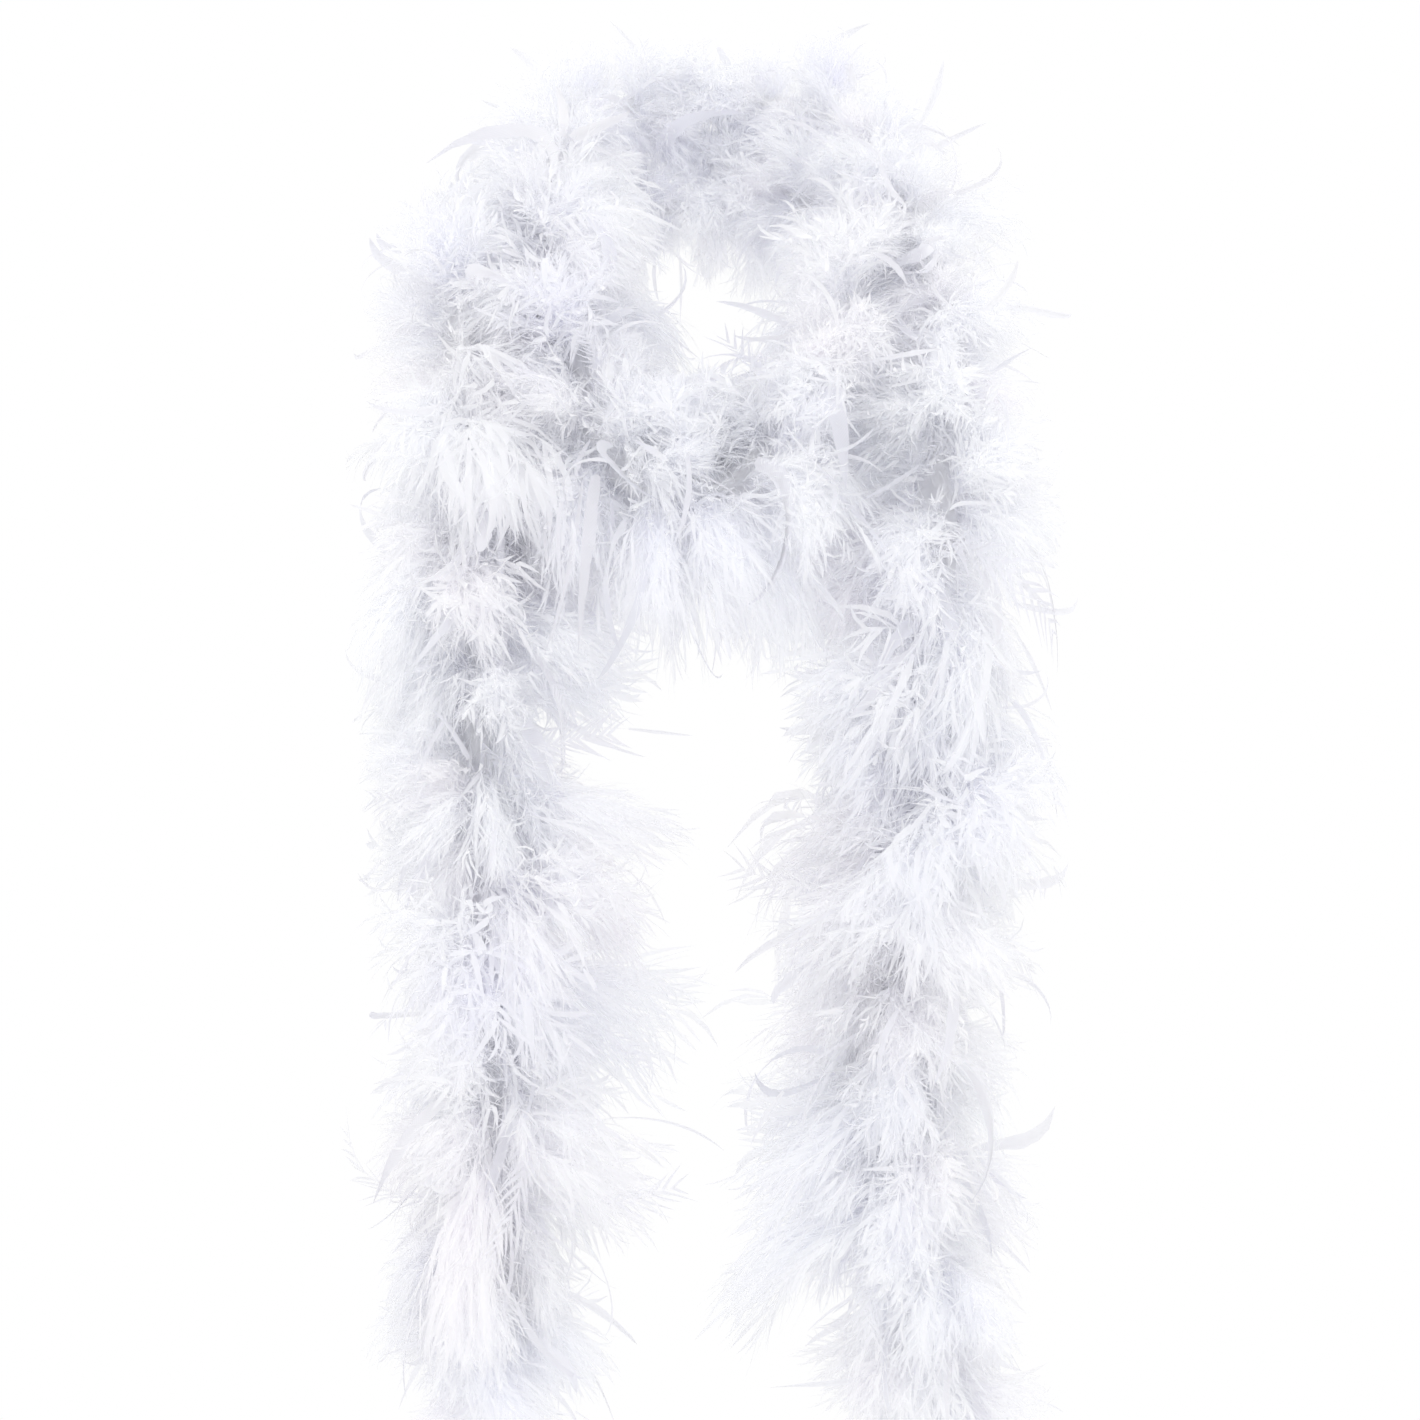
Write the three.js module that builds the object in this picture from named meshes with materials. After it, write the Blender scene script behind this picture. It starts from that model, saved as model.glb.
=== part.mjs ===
// A long feather boa worn one and a half times round a neck: one tail over each
// breast, two wraps behind the neck and a swag across the chest.
// Millimetres, +Z up, origin at the base of the neck, the wearer faces -Y.
import * as THREE from 'three';

// ---- driving dimensions ---------------------------------------------------

const CORD_RADIUS = 2.0;        // the two-ply core cord that carries every feather
const FIT = 0.3;                // clearance between touching pieces
const BINDING_WALL = 0.8;       // thread and quill butts lashed round the cord
const BEND_GAP = 2.8;           // free length at a bend point, so the cord can fold
const RUFF_GAP = 1.0;           // between neighbouring ruffs on one stretch
const STRAND_GAP = 0.5;         // between ruffs on strands that lie side by side
const OTHER_STRAND = 200;       // two places this far apart on the route are on two strands

const WRAP_RADIUS = 24;         // feathers packed together behind the neck
const SHOULDER_RADIUS = 25;
const SWAG_RADIUS = 40;
const CHEST_RADIUS = 40;
const TAIL_RADIUS = 59;         // feathers stand free on the tails
const END_RADIUS = 52;

const TUFTS = 7;                // tufts round one ruff
const TUFT_VALLEY = 0.62;       // how deep the ruff is between tufts, of its radius
const TUFT_SPREAD = 0.1;        // how far tufts differ in length
const BELLY = 1.05;             // a ruff's fullest width, of its radius
const BEND_SLOPE = 0.46;        // rise of a ruff's end beside a bend point
const PLAIN_SLOPE = 0.1;        // rise of a ruff's end beside its neighbour

const WHIPPING_LENGTH = 14;     // the tight thread that stops each end fraying
const WHIPPING_WALL = 0.9;
const LOOP_RADIUS = 9;          // the cord's loop beyond each whipping
const LOOP_CORD_RADIUS = 1.1;

// The route of the core cord, from the left tail's end to the right tail's end.
const ROUTE = [
  [-134, -99, -710], [-129, -99, -658], [-126, -99, -572], [-132, -99, -486],
  [-136, -99, -401], [-137, -99, -315], [-134, -99, -238], [-140, -99, -172],
  [-146, -88, -110], [-146, -55, -59], [-137, -10, -27], [-114, 40, -8],
  [-74, 72, 6], [-34, 86, 12], [4, 87, 14], [42, 78, 15],
  [72, 53, 10], [88, 16, -2], [91, -25, -23], [89, -61, -52],
  [78, -92, -96], [61, -113, -137], [34, -128, -167], [2, -134, -182],
  [-30, -131, -182], [-59, -117, -156], [-78, -93, -105], [-89, -59, -48],
  [-94, -19, 4], [-93, 32, 46], [-74, 74, 67], [-38, 95, 74],
  [2, 101, 76], [39, 96, 76], [71, 77, 68], [96, 39, 48],
  [115, -13, 11], [136, -58, -47], [148, -90, -110], [140, -99, -172],
  [132, -99, -238], [137, -99, -305], [132, -99, -382], [117, -99, -458],
  [116, -99, -534], [124, -99, -610], [134, -99, -687], [137, -99, -729],
];

// The cord is supple all along. These are the heights where each tail bends most,
// and the points on the shoulders where the swag does.
const TAIL_BENDS = [-238, -358, -478, -596];
const SWAG_BENDS = [[89, -61, -52], [-89, -59, -48]];

// ---- the route and places along it -----------------------------------------

const STEPS = 1200;
const curve = new THREE.CatmullRomCurve3(
  ROUTE.map(([x, y, z]) => new THREE.Vector3(x, y, z)), false, 'centripetal');
curve.arcLengthDivisions = 4 * STEPS;
const routeLength = curve.getLength();
const spots = curve.getSpacedPoints(STEPS);
const frames = curve.computeFrenetFrames(STEPS, false);

function placeAt(s) {
  const u = THREE.MathUtils.clamp(s / routeLength, 0, 1) * STEPS;
  const i = Math.min(Math.floor(u), STEPS - 1);
  const mix = (list) => list[i].clone().lerp(list[i + 1], u - i);
  return {
    point: mix(spots),
    side: mix(frames.normals).normalize(),
    up: mix(frames.binormals).normalize().negate(),
    along: mix(frames.tangents).normalize(),
  };
}

// The route length at which missing(point) is smallest, between two shares of the route.
function lengthWhere(missing, from, to) {
  let best = Math.round(from * STEPS);
  for (let i = best; i <= to * STEPS; i += 1) {
    if (missing(spots[i]) < missing(spots[best])) best = i;
  }
  return (best / STEPS) * routeLength;
}

const atHeight = (z) => (point) => Math.abs(point.z - z);
const atPoint = (xyz) => (point) => point.distanceTo(new THREE.Vector3(...xyz));

// ---- shapes ------------------------------------------------------------------

// Carries a geometry built about +Y onto the route: its y becomes route length.
function alongRoute(geometry) {
  const position = geometry.attributes.position;
  for (let i = 0; i < position.count; i += 1) {
    const place = placeAt(position.getY(i));
    const spot = place.point
      .addScaledVector(place.side, position.getX(i))
      .addScaledVector(place.up, position.getZ(i));
    position.setXYZ(i, spot.x, spot.y, spot.z);
  }
  geometry.computeVertexNormals();
  return geometry;
}

const turned = (profile, sides) =>
  new THREE.LatheGeometry(profile.map(([r, s]) => new THREE.Vector2(r, s)), sides);

// A rod, or a sleeve if inner isn't 0, with a ring at each of the stations.
function sleeve(stations, inner, outer, sides) {
  const there = stations.map((s) => [outer, s]);
  const back = inner > 0 ? [...stations].reverse().map((s) => [inner, s]) : [[0, stations.at(-1)]];
  return alongRoute(turned([[inner, stations[0]], ...there, ...back], sides));
}

// A share from 0 to 1 that looks random but is always the same for one n.
function scatter(n) {
  const v = Math.sin(n * 12.9898) * 43758.5453;
  return v - Math.floor(v);
}

// One ruff of feathers between the first and last of its stations: tufts round
// the cord, its ends rising with slope0 and slope1, round a bore that has the
// same stations as the binding inside it.
function ruff(stations, bore, radius, slope0, slope1, seed) {
  const [s0, s1] = [stations[0], stations.at(-1)];
  const a = s0 + slope0 * (radius - bore);
  const b = s1 - slope1 * (radius - bore);
  const outside = [[bore, s0], [radius, a], [radius * BELLY, (a + b) / 2], [radius, b]];
  const inside = [...stations].reverse().map((s) => [bore, s]);
  const geometry = turned([...outside, ...inside], 2 * TUFTS);
  const position = geometry.attributes.position;
  for (let i = 0; i < position.count; i += 1) {
    const [x, z] = [position.getX(i), position.getZ(i)];
    const r = Math.hypot(x, z);
    if (r < bore * 1.01) continue;
    const spoke = Math.round((Math.atan2(x, z) / Math.PI) * TUFTS + 2 * TUFTS) % (2 * TUFTS);
    const tuft = 1 + TUFT_SPREAD * (2 * scatter(seed * 31 + spoke) - 1);
    const full = bore + (r - bore) * (spoke % 2 ? TUFT_VALLEY : tuft);
    position.setXYZ(i, (x / r) * full, position.getY(i), (z / r) * full);
  }
  return alongRoute(geometry);
}

// A small closed loop of cord past the end of the route at s.
function endLoop(s, direction) {
  const place = placeAt(s);
  const onward = place.along.clone().multiplyScalar(direction);
  const gap = LOOP_RADIUS + LOOP_CORD_RADIUS + FIT;
  const across = place.side.clone().cross(onward);
  const turn = new THREE.Matrix4().makeBasis(place.side, onward, across);
  turn.setPosition(place.point.clone().addScaledVector(onward, gap));
  return new THREE.TorusGeometry(LOOP_RADIUS, LOOP_CORD_RADIUS, 6, 16).applyMatrix4(turn);
}

// ---- pieces --------------------------------------------------------------------

const soft = (name, color, roughness) =>
  new THREE.MeshStandardMaterial({ name, color, roughness, metalness: 0 });
const feather = soft('white_feather', 0xf3f1f6, 0.85);
const cord = soft('cotton_cord', 0xf0eee9, 0.9);
const thread = soft('binding_thread', 0xf5f3ef, 0.7);

const boa = new THREE.Group();
boa.name = 'feather_boa';

function add(name, geometry, material) {
  const mesh = new THREE.Mesh(geometry, material);
  mesh.name = name;
  boa.add(mesh);
}

const bindingInner = CORD_RADIUS + FIT;
const bindingOuter = bindingInner + BINDING_WALL;
const bore = bindingOuter + FIT;

const tailBends = TAIL_BENDS.map(atHeight);
const left = tailBends.map((missing) => lengthWhere(missing, 0, 0.3)).reverse();
const right = tailBends.map((missing) => lengthWhere(missing, 0.7, 1));
const swag = SWAG_BENDS.map((xyz) => lengthWhere(atPoint(xyz), 0.3, 0.7));

const wrapRadii = [WRAP_RADIUS, WRAP_RADIUS, WRAP_RADIUS, SHOULDER_RADIUS, SHOULDER_RADIUS, CHEST_RADIUS];
const swagRadii = [SHOULDER_RADIUS, SWAG_RADIUS, SWAG_RADIUS, SHOULDER_RADIUS];
const tailRadii = [TAIL_RADIUS, TAIL_RADIUS];

// Each stretch between two bends: name, ends, its ruffs' radii in order, and the
// stations in one ruff, more where the route curves.
const stretches = [
  ['left_tail_end', 0, left[0], [END_RADIUS, TAIL_RADIUS], 1],
  ['left_tail_lower', left[0], left[1], tailRadii, 1],
  ['left_tail_middle', left[1], left[2], tailRadii, 1],
  ['left_tail_upper', left[2], left[3], tailRadii, 1],
  ['lower_wrap', left[3], swag[0], [...wrapRadii].reverse(), 3],
  ['front_swag', swag[0], swag[1], swagRadii, 3],
  ['upper_wrap', swag[1], right[0], wrapRadii, 3],
  ['right_tail_upper', right[0], right[1], tailRadii, 1],
  ['right_tail_middle', right[1], right[2], tailRadii, 1],
  ['right_tail_lower', right[2], right[3], tailRadii, 1],
  ['right_tail_end', right[3], routeLength, [TAIL_RADIUS, END_RADIUS], 1],
];

const evenly = (s0, s1, parts) =>
  Array.from({ length: parts + 1 }, (_, k) => s0 + ((s1 - s0) * k) / parts);

const middle = ({ stations }) => (stations[0] + stations.at(-1)) / 2;
const line = ({ stations }) => evenly(stations[0], stations.at(-1), 12).map((s) => placeAt(s).point);

// The shortest way between the cord inside one ruff and inside another.
function between(one, other) {
  const points = line(other);
  return Math.min(...line(one).flatMap((point) => points.map((p) => p.distanceTo(point))));
}

// Feathers of strands that lie side by side press each other back to this share.
function pressed(one, all) {
  const others = all.filter((other) => Math.abs(middle(one) - middle(other)) > OTHER_STRAND);
  const room = others.map((other) =>
    (between(one, other) - STRAND_GAP) / ((one.radius + other.radius) * BELLY * (1 + TUFT_SPREAD)));
  return Math.min(1, ...room);
}

const allRuffs = [];

stretches.forEach(([name, from, to, radii, parts], order) => {
  const [first, last] = [from === 0, to === routeLength];
  const s0 = from + (first ? 0 : BEND_GAP / 2);
  const s1 = to - (last ? 0 : BEND_GAP / 2);
  const lashed0 = s0 + (first ? WHIPPING_LENGTH + FIT : 0);
  const lashed1 = s1 - (last ? WHIPPING_LENGTH + FIT : 0);
  const pitch = (lashed1 - lashed0 + RUFF_GAP) / radii.length;
  const ruffs = radii.map((_, k) =>
    evenly(lashed0 + k * pitch, lashed0 + (k + 1) * pitch - RUFF_GAP, parts));
  const lashed = ruffs.flat();
  const whole = [...(first ? [s0] : []), ...lashed, ...(last ? [s1] : [])];

  add(`core_cord_${name}`, sleeve(whole, 0, CORD_RADIUS, 8), cord);
  add(`quill_binding_${name}`, sleeve(lashed, bindingInner, bindingOuter, 8), thread);
  ruffs.forEach((stations, k) => allRuffs.push({
    name: `feather_ruff_${name}_${k + 1}`,
    stations,
    radius: radii[k],
    slope0: k === 0 ? BEND_SLOPE : PLAIN_SLOPE,
    slope1: k === radii.length - 1 ? BEND_SLOPE : PLAIN_SLOPE,
    seed: order * 10 + k,
  }));
});

for (const one of allRuffs) {
  const radius = one.radius * pressed(one, allRuffs);
  add(one.name, ruff(one.stations, bore, radius, one.slope0, one.slope1, one.seed), feather);
}

for (const [name, s, direction] of [['left', 0, -1], ['right', routeLength, 1]]) {
  const ends = [s, s - direction * WHIPPING_LENGTH].sort((a, b) => a - b);
  add(`end_whipping_${name}`, sleeve(ends, bindingInner, bindingInner + WHIPPING_WALL, 10), thread);
  add(`end_loop_${name}`, endLoop(s, direction), cord);
}

export default boa;
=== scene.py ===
import math

import bpy
import numpy as np
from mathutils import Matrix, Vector


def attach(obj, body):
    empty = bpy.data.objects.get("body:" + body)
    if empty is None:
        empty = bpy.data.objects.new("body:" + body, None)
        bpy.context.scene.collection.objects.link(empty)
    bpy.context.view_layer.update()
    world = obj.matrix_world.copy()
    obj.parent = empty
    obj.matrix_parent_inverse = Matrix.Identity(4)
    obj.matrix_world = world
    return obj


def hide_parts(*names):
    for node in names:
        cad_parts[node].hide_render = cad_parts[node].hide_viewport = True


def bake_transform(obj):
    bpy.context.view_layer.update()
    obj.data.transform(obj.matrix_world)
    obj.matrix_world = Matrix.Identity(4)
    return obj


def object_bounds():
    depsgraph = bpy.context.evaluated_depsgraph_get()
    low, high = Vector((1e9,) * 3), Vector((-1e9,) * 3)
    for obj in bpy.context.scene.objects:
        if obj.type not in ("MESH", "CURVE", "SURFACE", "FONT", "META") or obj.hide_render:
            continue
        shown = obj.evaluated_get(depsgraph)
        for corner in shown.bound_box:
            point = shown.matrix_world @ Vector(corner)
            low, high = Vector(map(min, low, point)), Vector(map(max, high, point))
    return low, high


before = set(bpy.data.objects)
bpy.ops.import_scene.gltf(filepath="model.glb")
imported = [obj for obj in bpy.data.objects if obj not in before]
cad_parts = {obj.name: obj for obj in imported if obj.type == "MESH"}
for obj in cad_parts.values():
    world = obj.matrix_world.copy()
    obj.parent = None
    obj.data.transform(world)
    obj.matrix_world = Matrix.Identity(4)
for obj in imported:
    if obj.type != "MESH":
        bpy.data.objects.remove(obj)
cad_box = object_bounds()
MM = 0.001
MAP = "OFBake"             # the name of each new piece's own map

# ---- camera ------------------------------------------------------------------

VIEW_WIDTH = 0.8804        # the width of the view at the boa, in metres
VIEW_CENTRE = (0.0012, 0.0, -0.310)
VIEW_DISTANCE = 2.6
SENSOR = 36.0              # millimetres


def place_camera():
    data = bpy.data.cameras.new("camera")
    data.sensor_width = SENSOR
    data.lens = SENSOR * VIEW_DISTANCE / VIEW_WIDTH
    camera = bpy.data.objects.new("camera", data)
    camera.location = Vector(VIEW_CENTRE) + Vector((0, -VIEW_DISTANCE, 0))
    camera.rotation_euler = (math.radians(90), 0, 0)
    bpy.context.scene.collection.objects.link(camera)
    bpy.context.scene.camera = camera


place_camera()

# ---- the cord's route ----------------------------------------------------------

# From the left tail's end to the right tail's end, in millimetres.
ROUTE = np.array([
    [-134, -99, -710], [-129, -99, -658], [-126, -99, -572], [-132, -99, -486],
    [-136, -99, -401], [-137, -99, -315], [-134, -99, -238], [-140, -99, -172],
    [-146, -88, -110], [-146, -55, -59], [-137, -10, -27], [-114, 40, -8],
    [-74, 72, 6], [-34, 86, 12], [4, 87, 14], [42, 78, 15],
    [72, 53, 10], [88, 16, -2], [91, -25, -23], [89, -61, -52],
    [78, -92, -96], [61, -113, -137], [34, -128, -167], [2, -134, -182],
    [-30, -131, -182], [-59, -117, -156], [-78, -93, -105], [-89, -59, -48],
    [-94, -19, 4], [-93, 32, 46], [-74, 74, 67], [-38, 95, 74],
    [2, 101, 76], [39, 96, 76], [71, 77, 68], [96, 39, 48],
    [115, -13, 11], [136, -58, -47], [148, -90, -110], [140, -99, -172],
    [132, -99, -238], [137, -99, -305], [132, -99, -382], [117, -99, -458],
    [116, -99, -534], [124, -99, -610], [134, -99, -687], [137, -99, -729],
], float) * MM

SPACING = 1 * MM           # between the points that the route is followed at


def smooth_line(points, pieces=60):
    """A centripetal Catmull-Rom line through the points."""
    ends = [2 * points[0] - points[1], *points, 2 * points[-1] - points[-2]]
    t = np.linspace(0, 1, pieces, endpoint=False)[:, None]
    line = []
    for p0, p1, p2, p3 in zip(ends, ends[1:], ends[2:], ends[3:]):
        d0, d1, d2 = (np.linalg.norm(b - a) ** 0.5 for a, b in ((p0, p1), (p1, p2), (p2, p3)))
        m1 = ((p1 - p0) / d0 - (p2 - p0) / (d0 + d1) + (p2 - p1) / d1) * d1
        m2 = ((p2 - p1) / d1 - (p3 - p1) / (d1 + d2) + (p3 - p2) / d2) * d1
        a = 2 * p1 - 2 * p2 + m1 + m2
        b = -3 * p1 + 3 * p2 - 2 * m1 - m2
        line.append(((a * t + b) * t + m1) * t + p1)
    return np.vstack([*line, points[-1:]])


class Route:
    """The cord's centreline as evenly spaced points, each with two directions across it."""

    def __init__(self, points):
        line = smooth_line(points)
        lengths = np.concatenate([[0], np.cumsum(np.linalg.norm(np.diff(line, axis=0), axis=1))])
        self.length = lengths[-1]
        self.s = np.linspace(0, self.length, int(self.length / SPACING) + 1)
        self.point = np.stack([np.interp(self.s, lengths, c) for c in line.T], 1)
        self.along = np.gradient(self.point, axis=0)
        self.along /= np.linalg.norm(self.along, axis=1)[:, None]
        side = np.cross(self.along[0], (0.0, 1.0, 0.0))
        sides = []
        for direction in self.along:
            side = side - direction * (side @ direction)
            side /= np.linalg.norm(side)
            sides.append(side)
        self.side = np.array(sides)
        self.up = np.cross(self.along, self.side)

    def at(self, s, what):
        """One of point, along, side or up at each length s, which may lie past the ends."""
        s = np.asarray(s, float)
        found = np.stack([np.interp(s, self.s, c) for c in getattr(self, what).T], -1)
        if what == "point":
            before, after = np.minimum(s, 0), np.maximum(s - self.length, 0)
            found = found + before[..., None] * self.along[0] + after[..., None] * self.along[-1]
        return found

    def nearest(self, place):
        return self.s[np.linalg.norm(self.point - np.array(place), axis=1).argmin()]


route = Route(ROUTE)

# ---- stretches between the bend points -------------------------------------------

# Where the boa bends: the body that stays, the body that turns, and the place.
BENDS = [
    ("left_tail_lower", "left_tail_end", (-0.126, -0.099, -0.596)),
    ("left_tail_middle", "left_tail_lower", (-0.132, -0.099, -0.478)),
    ("left_tail_upper", "left_tail_middle", (-0.137, -0.099, -0.358)),
    ("collar", "left_tail_upper", (-0.134, -0.099, -0.238)),
    ("collar", "front_swag", (0.089, -0.061, -0.052)),
    ("collar", "front_swag", (-0.089, -0.059, -0.048)),
    ("collar", "right_tail_upper", (0.132, -0.099, -0.238)),
    ("right_tail_upper", "right_tail_middle", (0.135, -0.099, -0.359)),
    ("right_tail_middle", "right_tail_lower", (0.115, -0.099, -0.479)),
    ("right_tail_lower", "right_tail_end", (0.122, -0.099, -0.595)),
]
# The stretches in route order: CAD name, body and number of ruffs.
STRETCHES = [
    ("left_tail_end", "left_tail_end", 2),
    ("left_tail_lower", "left_tail_lower", 2),
    ("left_tail_middle", "left_tail_middle", 2),
    ("left_tail_upper", "left_tail_upper", 2),
    ("lower_wrap", "collar", 6),
    ("front_swag", "front_swag", 4),
    ("upper_wrap", "collar", 6),
    ("right_tail_upper", "right_tail_upper", 2),
    ("right_tail_middle", "right_tail_middle", 2),
    ("right_tail_lower", "right_tail_lower", 2),
    ("right_tail_end", "right_tail_end", 2),
]
EASE = 0.045               # a length along the route each side of a bend point

bend_s = [float(route.nearest(place)) for _, _, place in BENDS]
edges = [0.0, *bend_s, float(route.length)]


def move_with(piece, body, bend):
    """The piece rides on its body; one beside a bend point stays put instead, with its place applied to
    its mesh.
    """
    if bend is None:
        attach(piece, body)
        return
    parent, child, _ = BENDS[bend]
    s = bend_s[bend]
    toward_child = 1 if STRETCHES[bend + 1][1] == child else -1
    reach = route.at(s, "along") * EASE * toward_child
    route.at(s, "point") - reach
    route.at(s, "point") + reach
    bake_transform(piece)


# ---- building meshes ------------------------------------------------------------------


def mesh_from(name, points, faces, map_points):
    """A mesh of triangles and quads. faces holds 4 corners each, the last -1 for a triangle."""
    count = np.where(faces[:, 3] < 0, 3, 4)
    corners = faces[faces >= 0]
    mesh = bpy.data.meshes.new(name)
    mesh.vertices.add(len(points))
    mesh.vertices.foreach_set("co", points.astype(np.float32).ravel())
    mesh.loops.add(len(corners))
    mesh.loops.foreach_set("vertex_index", corners.astype(np.int32))
    mesh.polygons.add(len(faces))
    mesh.polygons.foreach_set("loop_start", (np.cumsum(count) - count).astype(np.int32))
    mesh.polygons.foreach_set("loop_total", count.astype(np.int32))
    mesh.update(calc_edges=True)
    layer = mesh.uv_layers.new(name=MAP)
    layer.uv.foreach_set("vector", map_points[corners].astype(np.float32).ravel())
    return mesh


def piece_from(mesh, *materials):
    piece = bpy.data.objects.new(mesh.name, mesh)
    bpy.context.scene.collection.objects.link(piece)
    for material in materials:
        mesh.materials.append(material)
    return piece


def joined(parts):
    """The parts of one mesh, each points, faces and map places, as one."""
    start = np.cumsum([0] + [len(p) for p, _, _ in parts])[:-1]
    faces = [np.where(f < 0, -1, f + n) for (_, f, _), n in zip(parts, start)]
    return np.vstack([p for p, _, _ in parts]), np.vstack(faces), np.vstack([m for _, _, m in parts])


class Shape:
    """One modelled feather: points, faces, and for each point where it lies on the map."""

    def __init__(self):
        self.points, self.faces, self.maps = [], [], []

    def ribbon(self, line, widths, across, v0, v1):
        """A flat strip along the line. Its last width is 0, where it ends in a point."""
        first = len(self.points)
        last = len(line) - 1
        for k, (place, width) in enumerate(zip(line, widths)):
            v = v0 + (v1 - v0) * k / last
            if k == last:
                self.points.append(place)
                self.maps.append((0.5, v))
            else:
                self.points += [place - across * width / 2, place + across * width / 2]
                self.maps += [(0.0, v), (1.0, v)]
        for k in range(last):
            a = first + 2 * k
            self.faces.append((a, a + 1, a + 2, -1) if k == last - 1 else (a, a + 1, a + 3, a + 2))

    def done(self):
        self.points = np.array(self.points)
        self.faces = np.array(self.faces)
        self.maps = np.array(self.maps)
        return self


def unit(v):
    return v / np.linalg.norm(v)


def turned(v, axis, angle):
    """v turned about the axis."""
    axis = unit(axis)
    return (v * math.cos(angle) + np.cross(axis, v) * math.sin(angle)
            + axis * (axis @ v) * (1 - math.cos(angle)))


# ---- materials ------------------------------------------------------------------------


def new_material(name):
    material = bpy.data.materials.new(name)
    material.use_nodes = True
    nodes = material.node_tree.nodes
    nodes.clear()
    return material, nodes, material.node_tree.links.new


def ramp(nodes, stops):
    node = nodes.new("ShaderNodeValToRGB")
    while len(node.color_ramp.elements) < len(stops):
        node.color_ramp.elements.new(0.5)
    for element, (place, colour) in zip(node.color_ramp.elements, stops):
        element.position = place
        element.color = (*colour, 1)
    return node


def fibre_group():
    """Fine fibres: a soft noise mask, for the fibres' tone and how high they stand."""
    group = bpy.data.node_groups.new("fibres", "ShaderNodeTree")
    group.interface.new_socket("Vector", in_out="INPUT", socket_type="NodeSocketVector")
    scale = group.interface.new_socket("Scale", in_out="INPUT", socket_type="NodeSocketFloat")
    scale.default_value = 400.0
    group.interface.new_socket("Mask", in_out="OUTPUT", socket_type="NodeSocketFloat")
    nodes, link = group.nodes, group.links.new
    inputs = nodes.new("NodeGroupInput")
    outputs = nodes.new("NodeGroupOutput")
    coarse = nodes.new("ShaderNodeTexNoise")
    coarse.inputs["Detail"].default_value = 5.0
    coarse.inputs["Roughness"].default_value = 0.65
    link(inputs.outputs["Vector"], coarse.inputs["Vector"])
    link(inputs.outputs["Scale"], coarse.inputs["Scale"])
    spread = nodes.new("ShaderNodeMapRange")
    spread.inputs["From Min"].default_value = 0.3
    spread.inputs["From Max"].default_value = 0.7
    link(coarse.outputs["Fac"], spread.inputs["Value"])
    link(spread.outputs[0], outputs.inputs["Mask"])
    return group


fibres = fibre_group()


def fibre_mask(nodes, link, vector, scale):
    node = nodes.new("ShaderNodeGroup")
    node.node_tree = fibres
    node.inputs["Scale"].default_value = scale
    link(vector, node.inputs["Vector"])
    return node.outputs["Mask"]


def strand_material(name, dark, light, rough, scale, bump):
    """Spun cotton or thread: fibres in two tones with fine relief."""
    material, nodes, link = new_material(name)
    place = nodes.new("ShaderNodeTexCoord")
    mask = fibre_mask(nodes, link, place.outputs["Object"], scale)
    tone = ramp(nodes, [(0.0, dark), (1.0, light)])
    link(mask, tone.inputs[0])
    shader = nodes.new("ShaderNodeBsdfPrincipled")
    shader.inputs["Roughness"].default_value = rough
    shader.inputs["Sheen Weight"].default_value = 0.3
    link(tone.outputs[0], shader.inputs["Base Color"])
    relief = nodes.new("ShaderNodeBump")
    relief.inputs["Strength"].default_value = bump
    relief.inputs["Distance"].default_value = 0.0002
    link(mask, relief.inputs["Height"])
    link(relief.outputs[0], shader.inputs["Normal"])
    out = nodes.new("ShaderNodeOutputMaterial")
    link(shader.outputs[0], out.inputs["Surface"])
    return material


BARB_LINES = 70            # lines of barbs along one blade's map


def mixed(nodes, link, way, factor, a, b):
    node = nodes.new("ShaderNodeMix")
    node.data_type = "RGBA"
    node.blend_type = way
    if isinstance(factor, float):
        node.inputs["Factor"].default_value = factor
    else:
        link(factor, node.inputs["Factor"])
    for socket, value in (("A", a), ("B", b)):
        if isinstance(value, tuple):
            node.inputs[socket].default_value = (*value, 1)
        else:
            link(value, node.inputs[socket])
    return node.outputs["Result"]


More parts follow.
